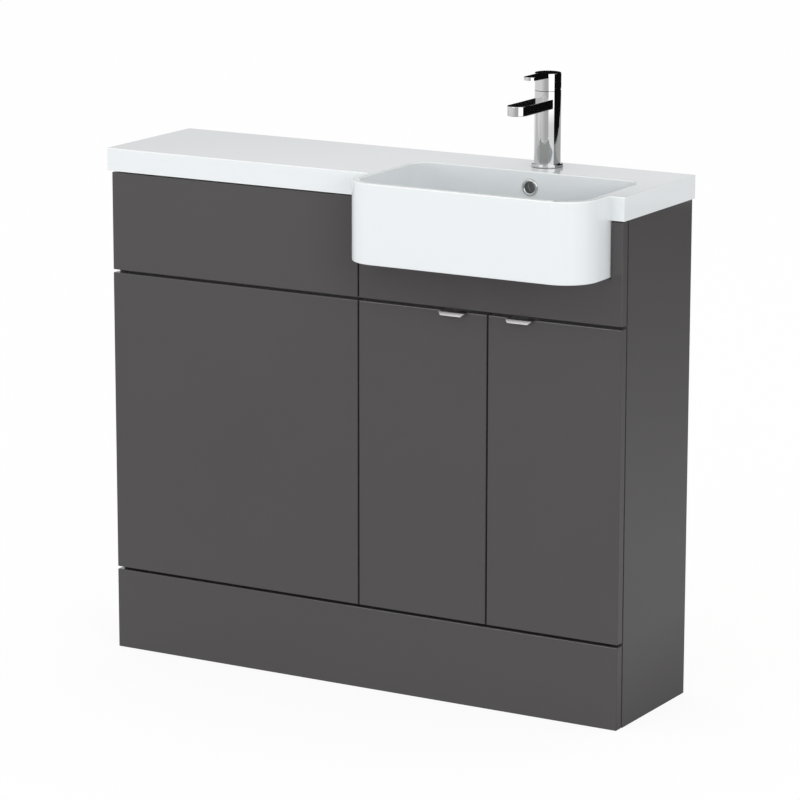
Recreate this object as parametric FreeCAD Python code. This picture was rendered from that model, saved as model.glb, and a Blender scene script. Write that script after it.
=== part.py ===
"""Combination vanity unit: a WC furniture bay and a basin cupboard under one cast basin top.

Frame: X to the right, Y to the wall, Z up; the origin is on the floor under the middle of the unit.
All sizes are millimetres.
"""
import FreeCAD, Part
import math
import os
from FreeCAD import Vector

# Cabinet
wc_bay_width = 500.0
vanity_bay_width = 500.0
cabinet_depth = 255.0
carcass_height = 864.0
board = 16.0
back_board = 6.0
front_board = 18.0
front_gap = 3.0
seat_gap = 3.0
front_round = 1.5
plinth_height = 144.0
plinth_gap = 4.5
upper_front_height = 173.0
upper_gap = 5.0
top_reveal = 3.0

# Rails, back panel and shelf
rail_height = 80.0
rail_drop = 42.0
wall_rail_height = 100.0
flat_rail_depth = 80.0
wall_hole_radius = 4.0
wall_hole_span = 320.0
shelf_height = 400.0
shelf_setback = 20.0
shelf_clearance = 0.5
shelf_pin_radius = 2.5
shelf_pin_reach = 8.0
shelf_pin_inset = 35.0
service_width = 260.0
service_height = 180.0
service_rise = 90.0

# Cast basin top
top_thickness = 40.0
top_overhang = 5.0
top_nose = 6.0
top_round = 2.0
basin_side_clearance = 7.0
basin_length = 259.5
basin_reach = 102.0
basin_height = 136.5
basin_front_corner = 59.0
basin_back_corner = 46.0
basin_wall = 11.5
basin_side_wall = 14.0
basin_floor = 14.0
bowl_round = 30.0
basin_blend = 2.0
fascia_clearance = 2.0
overflow_drop = 27.5
overflow_radius = 11.0
duct_width = 50.0
duct_depth = 18.0
duct_wall = 4.0

# Overflow ring
ring_reach = 3.0
ring_radius = 15.0
ring_bore = 9.5
ring_spigot = 10.0
ring_round = 2.6

# Waste
waste_back = 79.0
waste_hole_radius = 23.0
waste_thread_radius = 22.0
waste_thread_run = 3.0
waste_tail_radius = 20.95
waste_tail_length = 40.0
waste_bore_radius = 18.5
waste_flange_radius = 31.5
waste_flange_thickness = 3.0
waste_flange_gap = 1.0
waste_boss_height = 13.5
waste_nut_height = 10.0
waste_seal_height = 4.0
waste_seal_inset = 2.0
spider_thickness = 5.0
spider_half = 3.0
plug_stem_radius = 4.0
plug_stem_drop = 10.0
plug_inset = 1.5
plug_thickness = 4.0
plug_round = 2.8

# Tap
tap_setback = 48.2
tap_hole_radius = 17.5
tap_radius = 22.5
tap_joint_height = 129.9
tap_cap_height = 29.4
tap_cap_gap = 0.9
tap_ring_radius = 27.0
tap_ring_height = 5.5
tap_gasket_height = 0.8
tap_gasket_inset = 1.0
tap_spigot_depth = 10.0
tap_skirt_wall = 3.0
spout_reach = 124.5
spout_width = 35.0
spout_thickness = 16.5
spout_height = 100.5
spout_round = 1.0
aerator_radius = 10.0
aerator_height = 9.0
aerator_headroom = 2.0
aerator_drop = 1.0
aerator_hole_radius = 1.2
aerator_hole_pitch = 4.0
lever_reach = 74.0
lever_width = 22.5
lever_root = 6.9
lever_tip = 5.5
lever_round = 0.8
lift_angle = 18.0
lift_relief = 2.0
cartridge_radius = 17.5
cartridge_neck_radius = 12.0
cartridge_neck_drop = 20.0
cartridge_neck_gap = 4.0
cartridge_nut_height = 8.0
carriage_radius = 9.0
carriage_seat = 2.0
carriage_head = 3.0
carriage_ear_depth = 4.0
carriage_ear_inset = 1.0
fork_floor = 6.0
spindle_width = 7.0
spindle_depth = 8.0
spindle_play = 0.3
spindle_gap = 3.0
spindle_round = 3.0
lift_pin_radius = 1.5

# Tap inlets and fixing
inlet_radius = 5.0
inlet_depth = 14.0
inlet_spacing = 15.0
inlet_margin = 1.0
stud_radius = 4.0
stud_margin = 0.7
stud_tail = 30.0
stud_nut_radius = 7.5
stud_nut_height = 6.5
tap_pocket_radius = 31.0
tap_pocket_depth = 20.0
clamp_inset = 6.0
clamp_corner = 5.0
clamp_gasket_height = 2.0
horseshoe_height = 3.0

# Door pulls
pull_length = 48.0
pull_sheet = 1.5
pull_lip = 8.0
pull_splay = 3.7
pull_chamfer = 3.6
pull_inset = 62.0
pull_recess = 3.0
pull_screw_length = 20.0

# Hinges
hinge_inset = 90.0
hinge_axis_in = 8.0
hinge_axis_back = 7.2
hinge_pin_radius = 1.0
cup_radius = 17.4
cup_clearance = 0.1
cup_depth = 13.5
cup_edge = 3.0
cup_skin = 0.6
cup_wall = 0.9
cup_flange = 1.2
cup_flange_length = 60.0
cup_flange_lead = 2.0
cup_flange_round = 5.0
cup_screw_spacing = 45.0
cup_screw_offset = 9.5
cup_screw_skin = 7.0
ear_spacing = 12.0
ear_sheet = 1.4
ear_half_width = 2.0
ear_rise = 2.2
knuckle_radius = 1.9
arm_half_width = 5.5
arm_sheet = 2.0
arm_rise = 0.5
channel_half_width = 8.2
channel_sheet = 1.2
channel_front = 32.0
channel_back = 30.0
channel_lap = 5.0
channel_clearance = 4.0
plate_setback = 37.0
plate_thickness = 3.0
plate_half_depth = 8.0
plate_wing = 8.0
plate_hole_spacing = 32.0
plate_rail_front = 22.0
plate_rail_back = 26.0
plate_rail_half = 6.5
plate_screw_bite = 11.0

# Fixings
cam_radius = 7.5
cam_depth = 12.5
cam_reach = 34.0
cam_slot = 1.6
cam_bolt_radius = 3.0
cam_bolt_depth = 11.0
cam_bolt_clearance = 0.4
connector_radius = 4.0
connector_head_radius = 7.0
connector_head = 1.5
connector_drop = 80.0
connector_setback = 40.0
screw_radius = 1.75
screw_head_radius = 3.5
screw_head_height = 1.4
block_width = 20.0
block_length = 30.0
block_height = 28.0
block_bite = 10.0
panel_stud_inset = 35.0
stud_flange_radius = 6.0
stud_flange_height = 2.0
panel_stud_radius = 3.5
panel_stud_length = 12.0
socket_radius = 5.0
socket_clearance = 0.3
bumper_radius = 2.5
bumper_inset = 35.0

# Clearances, and how far a cutting tool runs past the face that it cuts
touch_clearance = 0.3
running_clearance = 0.05
overrun = 1.0
near = 0.1

# Planes worked out from the driving dimensions
half_width = (wc_bay_width + vanity_bay_width) / 2
bay_x = wc_bay_width - half_width
wall_y = (cabinet_depth + basin_reach) / 2
front_y = wall_y - cabinet_depth
front_back_y = front_y + front_board
carcass_y = front_back_y + seat_gap
back_panel_y = wall_y - board - back_board
top_z = carcass_height + top_thickness
lower_z = plinth_height + plinth_gap
upper_top_z = carcass_height - top_reveal
upper_z = upper_top_z - upper_front_height
lower_top_z = upper_z - upper_gap
wc_left_x = board - half_width
wc_right_x = bay_x - board
vanity_left_x = bay_x + board
vanity_right_x = half_width - board
basin_x = (vanity_left_x + vanity_right_x) / 2
basin_half = (vanity_right_x - vanity_left_x) / 2 - basin_side_clearance
basin_front_y = front_y - basin_reach
basin_back_y = basin_front_y + basin_length
basin_z = top_z - basin_height
bowl_z = basin_z + basin_floor
bowl_back_y = basin_back_y - basin_wall
joint_z = (lower_top_z + upper_z) / 2
plinth_joint_z = (plinth_height + lower_z) / 2
base_z = plinth_joint_z - board / 2
waste_y = basin_back_y - waste_back
waste_axis = Vector(basin_x, waste_y, 0)
tap_y = wall_y - tap_setback
tap_axis = Vector(basin_x, tap_y, 0)
up = Vector(0, 0, 1)

parts = {}
drillings = {}


def box(x0, x1, y0, y1, z0, z1):
    return Part.makeBox(x1 - x0, y1 - y0, z1 - z0, Vector(x0, y0, z0))


def rod(radius, start, end):
    return Part.makeCylinder(radius, (end - start).Length, start, end - start)


def post(radius, axis, z0, z1):
    """An upright rod on an axis that is given by its point on the floor."""
    return rod(radius, axis + up * z0, axis + up * z1)


def collar(outer, inner, axis, z0, z1):
    return post(outer, axis, z0, z1).cut(post(inner, axis, z0 - overrun, z1 + overrun))


def upright_edges(shape):
    return [edge for edge in shape.Edges if abs(edge.tangentAt(edge.FirstParameter).z) > 1 - near]


def edges_at(shape, z):
    return [edge for edge in shape.Edges
            if abs(edge.BoundBox.ZMin - z) < near and abs(edge.BoundBox.ZMax - z) < near]


def rounded_box(x0, x1, y0, y1, z0, z1, front_radius, back_radius):
    block = box(x0, x1, y0, y1, z0, z1)
    block = block.makeFillet(front_radius, [edge for edge in upright_edges(block)
                                            if edge.BoundBox.YMax < y0 + near])
    return block.makeFillet(back_radius, [edge for edge in upright_edges(block)
                                          if edge.BoundBox.YMin > y1 - near])


def soft_panel(x0, x1, y0, y1, z0, z1):
    panel = box(x0, x1, y0, y1, z0, z1)
    return panel.makeFillet(front_round, panel.Edges)


def prism(points, direction):
    return Part.Face(Part.makePolygon(points + points[:1])).extrude(direction)


def nut_blank(flats, radius, axis, z0, height):
    turns = [2 * math.pi * flat / flats for flat in range(flats)]
    corners = [axis + Vector(radius * math.cos(turn), radius * math.sin(turn), z0) for turn in turns]
    return prism(corners, up * height)


def screw(head, tip):
    """A pan-head screw whose head stands on the point `head` and whose shank ends at `tip`."""
    along = (tip - head).normalize()
    shank = rod(screw_radius, head, tip)
    return shank.fuse(rod(screw_head_radius, head - along * screw_head_height, head)).removeSplitter()


def drill(node, tool):
    drillings.setdefault(node, []).append(tool)


def add(node, *solids):
    parts.setdefault(node, []).extend(solids)


# Side panels, which stand on the floor
side_faces = {
    "wc_left_side": (-half_width, wc_left_x),
    "wc_right_side": (wc_right_x, bay_x),
    "vanity_left_side": (bay_x, vanity_left_x),
    "vanity_right_side": (vanity_right_x, half_width),
}
for name, (x0, x1) in side_faces.items():
    add(name, box(x0, x1, carcass_y, wall_y, 0.0, carcass_height))

# Rails and panels between the sides, joined to them by cam locks
wc_bay = (wc_left_x, wc_right_x)
vanity_bay = (vanity_left_x, vanity_right_x)
cam_places = []


def upright_rail(name, bay, y0, z0, height, cam_heights):
    add(name, box(bay[0], bay[1], y0, y0 + board, z0, z0 + height))
    for z in cam_heights:
        cam_places.append((name, bay, Vector(0, y0 + board / 2, z), Vector(0, 1, 0)))


def flat_rail(name, bay, y0, y1, z0, cam_depths):
    add(name, box(bay[0], bay[1], y0, y1, z0, z0 + board))
    for y in cam_depths:
        cam_places.append((name, bay, Vector(0, y, z0 + board / 2), Vector(0, 0, -1)))


quarter_wall_rail = wall_rail_height / 4
wall_rail_z = carcass_height - wall_rail_height
wall_cams = (wall_rail_z + quarter_wall_rail, carcass_height - quarter_wall_rail)
middle_rail_z = joint_z - rail_height / 2
front_rail_z = basin_z - rail_drop - rail_height
flat_rail_y = carcass_y + flat_rail_depth
flat_cams = (carcass_y + flat_rail_depth / 4, flat_rail_y - flat_rail_depth / 4)
base_cams = (carcass_y + flat_rail_depth / 2, back_panel_y - flat_rail_depth / 2)

flat_rail("wc_front_rail", wc_bay, carcass_y, flat_rail_y, carcass_height - board, flat_cams)
upright_rail("wc_wall_rail", wc_bay, wall_y - board, wall_rail_z, wall_rail_height, wall_cams)
upright_rail("wc_middle_rail", wc_bay, carcass_y, middle_rail_z, rail_height, (joint_z,))
upright_rail("wc_bottom_rail", wc_bay, carcass_y, plinth_joint_z - rail_height / 2, rail_height,
             (plinth_joint_z,))
upright_rail("vanity_front_rail", vanity_bay, carcass_y, front_rail_z, rail_height,
             (front_rail_z + rail_height / 2,))
upright_rail("vanity_wall_rail", vanity_bay, wall_y - board, wall_rail_z, wall_rail_height, wall_cams)
flat_rail("vanity_base", vanity_bay, carcass_y, back_panel_y, base_z, base_cams)

wall_hole_z = wall_rail_z + wall_rail_height / 2
for rail, bay in (("wc_wall_rail", wc_bay), ("vanity_wall_rail", vanity_bay)):
    middle = (bay[0] + bay[1]) / 2
    for x in (middle - wall_hole_span / 2, middle + wall_hole_span / 2):
        front = Vector(x, wall_y - board - overrun, wall_hole_z)
        drill(rail, rod(wall_hole_radius, front, Vector(x, wall_y + overrun, wall_hole_z)))

# Cam locks and the bolts that they draw in, one pair at each rail end
bay_sides = {
    wc_bay: ("wc_left_side", "wc_right_side"),
    vanity_bay: ("vanity_left_side", "vanity_right_side"),
}
for rail, bay, place, face in cam_places:
    for side, x, inward in zip(bay_sides[bay], bay, (1.0, -1.0)):
        into = Vector(inward, 0, 0)
        mouth = Vector(x, place.y, place.z)
        centre = mouth + into * cam_reach
        surface = centre + face * (board / 2)
        bolt = rod(cam_bolt_radius, mouth - into * cam_bolt_depth, centre)
        bore_radius = cam_bolt_radius + cam_bolt_clearance
        cam = rod(cam_radius, surface - face * cam_depth, surface)
        slot_half = Vector(cam_slot, cam_slot, cam_slot)
        if face.z:
            slot_half.y = cam_radius
        else:
            slot_half.z = cam_radius
        low = surface - slot_half
        high = surface + slot_half
        cross_slot = box(low.x, high.x, low.y, high.y, low.z, high.z)
        add("cam_locks", cam.cut([rod(bore_radius, mouth, centre + into * bore_radius), cross_slot]))
        add("cam_bolts", bolt)
        drill(side, bolt)
        drill(rail, cam)
        drill(rail, rod(bore_radius, mouth - into * overrun, centre))

# Back panel with the service cut-out, and the shelf on its pins
service_z = base_z + board + service_rise
service_cut = box(basin_x - service_width / 2, basin_x + service_width / 2, back_panel_y - overrun, wall_y,
                  service_z, service_z + service_height)
back_panel = box(vanity_left_x, vanity_right_x, back_panel_y, back_panel_y + back_board,
                 base_z, wall_rail_z + quarter_wall_rail)
add("vanity_back_panel", back_panel.cut(service_cut))
shelf_y = carcass_y + shelf_setback
shelf_back_y = back_panel_y - shelf_clearance
add("shelf", box(vanity_left_x + shelf_clearance, vanity_right_x - shelf_clearance,
                 shelf_y, shelf_back_y, shelf_height, shelf_height + board))
pin_z = shelf_height - shelf_pin_radius
for side, x, inward in zip(bay_sides[vanity_bay], vanity_bay, (1.0, -1.0)):
    reach = Vector(inward * shelf_pin_reach, 0, 0)
    for y in (shelf_y + shelf_pin_inset, shelf_back_y - shelf_pin_inset):
        face = Vector(x, y, pin_z)
        spoon_low, spoon_high = sorted((x, x + reach.x))
        spoon = box(spoon_low, spoon_high, y - shelf_pin_radius, y + shelf_pin_radius, pin_z, shelf_height)
        pin = rod(shelf_pin_radius, face - reach, face + reach)
        add("shelf_pins", pin.fuse(spoon).removeSplitter())
        drill(side, rod(shelf_pin_radius, face - reach, face))

# Sleeved bolts that clamp the two bays together
for y in (carcass_y + connector_setback, back_panel_y - connector_setback):
    for z in (shelf_height - connector_drop, wall_rail_z - 2 * connector_head_radius):
        left = Vector(wc_right_x, y, z)
        right = Vector(vanity_left_x, y, z)
        out = Vector(connector_head, 0, 0)
        shank = rod(connector_radius, left, right)
        heads = [rod(connector_head_radius, left - out, left), rod(connector_head_radius, right, right + out)]
        add("bay_connectors", shank.fuse(heads).removeSplitter())
        drill("wc_right_side", shank)
        drill("vanity_left_side", shank)

# Gloss front panels
wc_edge = bay_x - front_gap / 2
vanity_edge = bay_x + front_gap / 2
split_left = basin_x - front_gap / 2
split_right = basin_x + front_gap / 2
add("access_panel", soft_panel(-half_width, wc_edge, front_y, front_back_y, upper_z, upper_top_z))
add("wc_lower_panel", soft_panel(-half_width, wc_edge, front_y, front_back_y, lower_z, lower_top_z))
add("plinth", soft_panel(-half_width, half_width, front_y, front_back_y, 0.0, plinth_height))
fascia = soft_panel(vanity_edge, half_width, front_y, front_back_y, upper_z, upper_top_z)
notch_half = basin_half + fascia_clearance
notch = box(basin_x - notch_half, basin_x + notch_half, front_y - overrun, front_back_y + overrun,
            basin_z - fascia_clearance, upper_top_z + overrun)
add("vanity_fascia", fascia.cut(notch))

# Corner blocks that hold the fixed fronts to the sides
wc_sides = (("wc_left_side", wc_left_x, 1.0), ("wc_right_side", wc_right_x, -1.0))
vanity_sides = (("vanity_left_side", vanity_left_x, 1.0), ("vanity_right_side", vanity_right_x, -1.0))
block_places = [("plinth", side, plinth_height / 3) for side in wc_sides + vanity_sides]
for z in (lower_z + block_height * 3, middle_rail_z - block_height):
    block_places += [("wc_lower_panel", side, z) for side in wc_sides]
fascia_block_z = front_rail_z + rail_height + touch_clearance + block_height / 2
block_places += [("vanity_fascia", side, fascia_block_z) for side in vanity_sides]
for front, (side, x, inward), z in block_places:
    low_x, high_x = sorted((x, x + inward * block_width))
    middle_x = (low_x + high_x) / 2
    block = box(low_x, high_x, front_back_y, front_back_y + block_length,
                z - block_height / 2, z + block_height / 2)
    front_head = Vector(middle_x, front_back_y + block_length / 3, z - block_height / 4)
    side_head = Vector(middle_x, front_back_y + block_length * 2 / 3, z + block_height / 4)
    front_screw = screw(front_head, Vector(middle_x, front_back_y - block_bite, front_head.z))
    side_screw = screw(side_head, Vector(x - inward * block_bite, side_head.y, side_head.z))
    wells = [rod(screw_head_radius, front_head, front_head + Vector(0, block_length, 0)),
             rod(screw_head_radius, side_head, side_head + Vector(inward * block_width, 0, 0))]
    add("panel_blocks", block.cut([front_screw, side_screw] + wells))
    add("block_screws", front_screw, side_screw)
    drill(front, front_screw)
    drill(side, side_screw)

# Push-in studs of the access panel, and their sockets in the front edges of the sides
deep = Vector(0, 1, 0)
for side in ("wc_left_side", "wc_right_side"):
    x = sum(side_faces[side]) / 2
    for z in (upper_z + panel_stud_inset, upper_top_z - panel_stud_inset):
        back = Vector(x, front_back_y, z)
        edge = Vector(x, carcass_y, z)
        flange = rod(stud_flange_radius, back, back + deep * stud_flange_height)
        shank = rod(panel_stud_radius, back, edge + deep * panel_stud_length)
        add("access_panel_studs", flange.fuse(shank).removeSplitter())
        bore_end = edge + deep * (panel_stud_length + touch_clearance)
        lip = rod(stud_flange_radius, back + deep * (stud_flange_height + touch_clearance), edge)
        barrel = rod(socket_radius, edge, bore_end + deep * stud_flange_height)
        add("access_panel_sockets", lip.fuse(barrel).cut(
            rod(panel_stud_radius + socket_clearance, back, bore_end)).removeSplitter())
        drill(side, barrel)

# Soft bumpers behind the free edges of the doors
for x in (split_left - bumper_inset, split_right + bumper_inset):
    for z in ((lower_z + base_z + board) / 2, (front_rail_z + lower_top_z) / 2):
        seat = Vector(x, carcass_y, z)
        add("door_bumpers", rod(bumper_radius, seat - deep * (seat_gap - touch_clearance), seat))

# Cast top: the slab, the bowl that stands out in front of it, and the overflow duct behind the bowl
slab = box(-half_width - top_overhang, half_width + top_overhang, front_y - top_nose, wall_y,
           carcass_height, top_z)
bowl = rounded_box(basin_x - basin_half, basin_x + basin_half, basin_front_y, basin_back_y,
                   basin_z, top_z, basin_front_corner, basin_back_corner)
bowl = bowl.makeFillet(top_round, edges_at(bowl, basin_z))
duct_half = duct_width / 2
duct_back_y = basin_back_y + duct_depth
boss_z = basin_z - waste_boss_height
duct = box(basin_x - duct_half, basin_x + duct_half, bowl_back_y, duct_back_y,
           boss_z, carcass_height + overrun)
runner = box(basin_x - duct_half, basin_x + duct_half, waste_y, duct_back_y, boss_z, basin_z + overrun)
boss = post(waste_flange_radius + duct_wall, waste_axis, boss_z, basin_z + overrun)
casting = slab.fuse([bowl, duct, runner, boss]).removeSplitter()
inner_corners = [edge for edge in upright_edges(casting)
                 if abs(edge.BoundBox.YMin - (front_y - top_nose)) < near
                 and abs(abs(edge.BoundBox.XMin - basin_x) - basin_half) < near]
casting = casting.makeFillet(basin_blend, inner_corners)
casting = casting.makeFillet(top_round, [edge for edge in edges_at(casting, top_z)
                                         if edge.BoundBox.YMax < wall_y - near])
hollow = rounded_box(basin_x - basin_half + basin_side_wall, basin_x + basin_half - basin_side_wall,
                     basin_front_y + basin_wall, bowl_back_y, bowl_z, top_z + overrun,
                     basin_front_corner - basin_wall, basin_back_corner - basin_wall)
hollow = hollow.makeFillet(bowl_round, edges_at(hollow, bowl_z))
casting = casting.cut(hollow)
inner_lip = [edge for edge in edges_at(casting, top_z)
             if edge.BoundBox.YMin > basin_front_y + basin_wall - near
             and edge.BoundBox.YMax < bowl_back_y + near
             and edge.BoundBox.XMin > basin_x - basin_half + near]
casting = casting.makeFillet(top_round, inner_lip)
overflow_z = top_z - overflow_drop
channel_half = duct_half - 2 * duct_wall
channel_y = basin_back_y + duct_wall
channel_back_y = duct_back_y - duct_wall
channel_z = boss_z + duct_wall
pocket_z = carcass_height + tap_pocket_depth
flange_z = bowl_z - waste_flange_thickness
casting = casting.cut([
    rod(overflow_radius, Vector(basin_x, bowl_back_y - overrun, overflow_z),
        Vector(basin_x, channel_y + overrun, overflow_z)),
    box(basin_x - channel_half, basin_x + channel_half, channel_y, channel_back_y,
        channel_z, overflow_z + overflow_radius),
    box(basin_x - channel_half, basin_x + channel_half, waste_y, channel_back_y,
        channel_z, basin_z - duct_wall / 2),
    post(waste_hole_radius, waste_axis, boss_z - overrun, bowl_z + overrun),
    post(waste_flange_radius + waste_flange_gap, waste_axis, flange_z, bowl_z + overrun),
    post(tap_hole_radius, tap_axis, carcass_height - overrun, top_z + overrun),
    post(tap_pocket_radius, tap_axis, carcass_height - overrun, pocket_z),
])
add("basin_top", casting)

# Chrome ring in the overflow hole
ring_seat = Vector(basin_x, bowl_back_y, overflow_z)
ring_mouth = ring_seat - deep * ring_reach
ring_end = ring_seat + deep * ring_spigot
spigot = rod(overflow_radius - running_clearance, ring_seat, ring_end)
ring = rod(ring_radius, ring_mouth, ring_seat).fuse(spigot)
ring = ring.cut(rod(ring_bore, ring_mouth - deep * overrun, ring_end + deep * overrun)).removeSplitter()
ring = ring.makeFillet(ring_round, [edge for edge in ring.Edges if edge.BoundBox.YMax < ring_mouth.y + near])
add("overflow_ring", ring)

# Slotted waste with its seal, back nut and press plug
seal_z = boss_z - waste_seal_height
nut_z = seal_z - waste_nut_height
thread_z = nut_z - waste_thread_run
tail_z = thread_z - waste_tail_length
spider_top_z = basin_z + spider_thickness
stem_guide = plug_stem_radius + running_clearance
spider_reach = waste_bore_radius + overrun
waste = post(waste_thread_radius, waste_axis, thread_z, bowl_z)
waste = waste.fuse([post(waste_tail_radius, waste_axis, tail_z, thread_z),
                    post(waste_flange_radius, waste_axis, flange_z, bowl_z)])
waste = waste.cut(post(waste_bore_radius, waste_axis, tail_z - overrun, bowl_z + overrun))
waste = waste.fuse([
    post(stem_guide + spider_half, waste_axis, basin_z, spider_top_z),
    box(basin_x - spider_reach, basin_x + spider_reach, waste_y - spider_half, waste_y + spider_half,
        basin_z, spider_top_z),
    box(basin_x - spider_half, basin_x + spider_half, waste_y - spider_reach, waste_y + spider_reach,
        basin_z, spider_top_z)])
slot_half = channel_half / 2
waste = waste.cut([
    post(stem_guide, waste_axis, basin_z - overrun, spider_top_z + overrun),
    box(basin_x - slot_half, basin_x + slot_half, waste_y - waste_hole_radius, waste_y + waste_hole_radius,
        channel_z, basin_z - duct_wall)])
add("waste_body", waste.removeSplitter())
add("waste_seal", collar(waste_flange_radius - waste_seal_inset, waste_thread_radius, waste_axis,
                         seal_z, boss_z))
nut_flats = 8
nut = nut_blank(nut_flats, waste_flange_radius, waste_axis, nut_z, waste_nut_height)
add("waste_nut", nut.cut(post(waste_thread_radius, waste_axis, nut_z - overrun, seal_z + overrun)))
plug_z = bowl_z + touch_clearance
plug_top_z = plug_z + plug_thickness
plug = post(waste_flange_radius - plug_inset, waste_axis, plug_z, plug_top_z)
plug = plug.makeFillet(plug_round, edges_at(plug, plug_top_z))
plug_stem = post(plug_stem_radius, waste_axis, basin_z - plug_stem_drop, plug_z + overrun)
add("waste_plug", plug.fuse(plug_stem).removeSplitter())

# Tap: base ring and gasket, body with the spout, aerator
ring_z = top_z + tap_gasket_height
body_z = ring_z + tap_ring_height
joint_top_z = top_z + tap_joint_height
spigot_radius = tap_hole_radius - touch_clearance
spigot_z = top_z - tap_spigot_depth
spout_z = top_z + spout_height
spout_top_z = spout_z + spout_thickness
aerator_axis = tap_axis - Vector(0, spout_reach - spout_width / 2, 0)


def round_tongue(width, tip_axis, z0, z1):
    """A flat tongue from the tap's axis forward, with a half-round tip about `tip_axis`."""
    half = width / 2
    stem = box(basin_x - half, basin_x + half, tip_axis.y, tap_y, z0, z1)
    return stem.fuse(post(half, tip_axis, z0, z1)).removeSplitter()


add("tap_gasket", collar(tap_ring_radius - tap_gasket_inset, spigot_radius, tap_axis, top_z, ring_z))
base_ring = collar(tap_ring_radius, spigot_radius, tap_axis, ring_z, body_z)
base_ring = base_ring.makeFillet(top_round, [edge for edge in edges_at(base_ring, body_z)
                                             if edge.BoundBox.XLength > 2 * tap_radius])
add("tap_base_ring", base_ring)
spout = round_tongue(spout_width, aerator_axis, spout_z, spout_top_z)
spout = spout.makeFillet(spout_round, edges_at(spout, spout_z) + edges_at(spout, spout_top_z))
tap_body = post(tap_radius, tap_axis, body_z, joint_top_z)
tap_body = tap_body.fuse([spout, post(spigot_radius, tap_axis, spigot_z, body_z + overrun)])
skirt_radius = spigot_radius - tap_skirt_wall
cartridge_z = spout_z - spout_thickness
cartridge_bore = cartridge_radius + touch_clearance
water_z = (spout_z + spout_top_z) / 2
inlet_y = tap_y - inlet_radius
inlet_top_z = body_z + inlet_depth
stud_axis = tap_axis + Vector(0, skirt_radius - stud_radius - stud_margin, 0)
tap_body = tap_body.cut([
    post(cartridge_bore, tap_axis, cartridge_z, joint_top_z + overrun),
    rod(aerator_radius / 2, tap_axis + up * water_z, aerator_axis + up * water_z),
    post(aerator_radius, aerator_axis, spout_z - overrun, spout_z + aerator_height),
    post(skirt_radius, tap_axis, spigot_z - overrun, body_z),
    post(stud_radius, stud_axis, body_z - overrun, inlet_top_z),
    post(inlet_radius, Vector(basin_x - inlet_spacing / 2, inlet_y, 0), body_z - overrun, inlet_top_z),
    post(inlet_radius, Vector(basin_x + inlet_spacing / 2, inlet_y, 0), body_z - overrun, inlet_top_z),
])
add("tap_body", tap_body.removeSplitter())
aerator_z = spout_z - aerator_drop
aerator_top_z = spout_z + aerator_height - aerator_headroom
aerator = post(aerator_radius, aerator_axis, aerator_z, aerator_top_z)
for across in (-1, 0, 1):
    for along in (-1, 0, 1):
        hole_axis = aerator_axis + Vector(across * aerator_hole_pitch, along * aerator_hole_pitch, 0)
        aerator = aerator.cut(post(aerator_hole_radius, hole_axis, aerator_z - overrun,
                                   aerator_z + aerator_hole_pitch))
add("tap_aerator", aerator)

# Tap cartridge, its ring nut, and the carriage that turns in it
neck_z = joint_top_z - cartridge_neck_drop
neck_top_z = joint_top_z - cartridge_neck_gap
carriage_z = neck_z + carriage_seat
lift_z = joint_top_z + tap_cap_gap
cartridge = post(cartridge_radius, tap_axis, cartridge_z, neck_z)
cartridge = cartridge.fuse(post(cartridge_neck_radius, tap_axis, neck_z, neck_top_z))
cartridge = cartridge.cut(post(carriage_radius + running_clearance, tap_axis,
                               carriage_z, neck_top_z + overrun))
add("tap_cartridge", cartridge.removeSplitter())
add("tap_cartridge_nut", collar(cartridge_bore, cartridge_neck_radius, tap_axis,
                                neck_z, neck_z + cartridge_nut_height))
ear_half = carriage_radius - carriage_ear_inset
ear_top_z = lift_z + carriage_head
fork_z = neck_z + fork_floor
fork_half = spindle_width / 2 + spindle_play
carriage = post(carriage_radius, tap_axis, carriage_z, neck_top_z)
carriage = carriage.fuse(box(basin_x - ear_half, basin_x + ear_half, tap_y - carriage_ear_depth,
                             tap_y + carriage_ear_depth, neck_top_z - overrun, ear_top_z))
carriage = carriage.cut(box(basin_x - fork_half, basin_x + fork_half, tap_y - carriage_radius,
                            tap_y + carriage_radius, fork_z, ear_top_z + overrun))
pin_start = Vector(basin_x - ear_half, tap_y, lift_z)
pin_end = Vector(basin_x + ear_half, tap_y, lift_z)
add("tap_carriage", carriage.fuse(rod(lift_pin_radius, pin_start, pin_end)).removeSplitter())

# Handle: the spindle in the carriage, and the cap with its flat lever, relieved behind so that it can tip
cap_top_z = lift_z + tap_cap_height
spindle_z = fork_z + spindle_gap
spindle_top_z = cap_top_z - lever_root
spindle_half = Vector(spindle_width / 2, spindle_depth / 2, 0)
spindle_low = tap_axis - spindle_half
spindle_high = tap_axis + spindle_half
spindle = box(spindle_low.x, spindle_high.x, spindle_low.y, spindle_high.y, spindle_z, spindle_top_z)
spindle = spindle.makeFillet(spindle_round, [edge for edge in edges_at(spindle, spindle_z)
                                             if edge.BoundBox.XLength > near])
add("tap_spindle", spindle.cut(rod(lift_pin_radius + running_clearance, pin_start, pin_end)))
relief_reach = 2 * tap_radius
relief_rise = relief_reach * math.tan(math.radians(lift_angle + lift_relief))
relief_start = Vector(basin_x - relief_reach, tap_y, lift_z)
relief_back = relief_start + deep * relief_reach
relief = prism([relief_start, relief_back, relief_back + up * relief_rise], Vector(2 * relief_reach, 0, 0))
lever_x = basin_x - lever_width / 2
lever_tip_y = tap_y - lever_reach
lever = prism([Vector(lever_x, tap_y, cap_top_z),
               Vector(lever_x, lever_tip_y, cap_top_z),
               Vector(lever_x, lever_tip_y, cap_top_z - lever_tip),
               Vector(lever_x, tap_y - tap_radius, cap_top_z - lever_root),
               Vector(lever_x, tap_y, cap_top_z - lever_root)], Vector(lever_width, 0, 0))
lever_axis = tap_axis - Vector(0, lever_reach - lever_width / 2, 0)
lever = lever.common(round_tongue(lever_width, lever_axis, lift_z, cap_top_z))
cap = post(tap_radius, tap_axis, lift_z, cap_top_z)
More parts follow.
